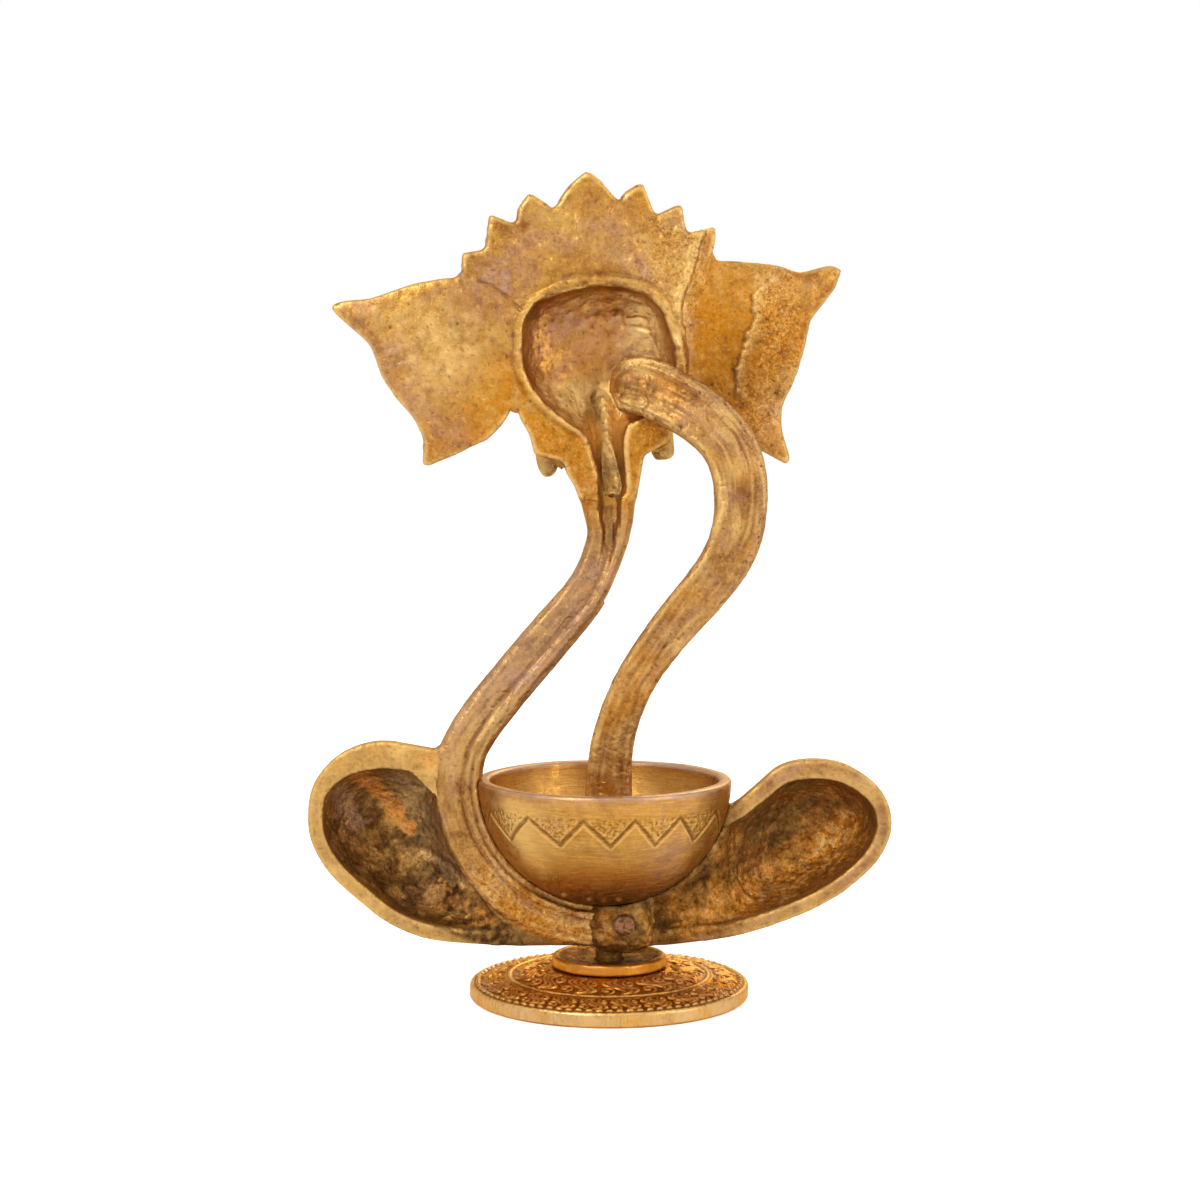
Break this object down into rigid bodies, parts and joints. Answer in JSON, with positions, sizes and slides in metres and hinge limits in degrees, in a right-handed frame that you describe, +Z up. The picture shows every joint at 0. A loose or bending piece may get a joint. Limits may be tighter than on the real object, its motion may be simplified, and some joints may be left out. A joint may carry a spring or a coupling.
{
  "type": "ganesha oil lamp",
  "caption": "Cast brass oil lamp: an elephant-headed face mask on an S-shaped trunk and a strut over a round bowl, with folded legs, on a round ornamented base.",
  "frame": {"origin": "middle of the flat underside of the base", "axes": "+Z up, -Y the way the face looks, +X towards the figure's own left ear"},
  "size_m": [0.1493, 0.0718, 0.2106],
  "materials": {
    "cast": "aged cast brass, golden on the edges and brown in the lows",
    "bar": "aged cast brass with brown and purplish tarnish in the grooves",
    "leg": "aged cast brass, dark grey-green and orange inside the hollow",
    "bowl": "smoother rubbed brass with a light tarnish",
    "base": "red-brown gold brass, dark in the ornament, with a filed edge",
    "hub": "rough cast brass, dark brown and green",
    "braze": "dull pinkish filler metal"
  },
  "bodies": {
    "root": {"base_plate": "base", "base_collar": "base", "stem": "hub", "hub": "hub", "braze_plug": "braze", "bowl": "bowl", "trunk": "bar", "leg_left": "leg", "leg_right": "leg", "back_strut": "bar", "face": "cast", "crown": "cast", "ear_left": "cast", "ear_right": "cast", "tusk_left": "cast", "tusk_right": "cast"}
  },
  "joints": []
}
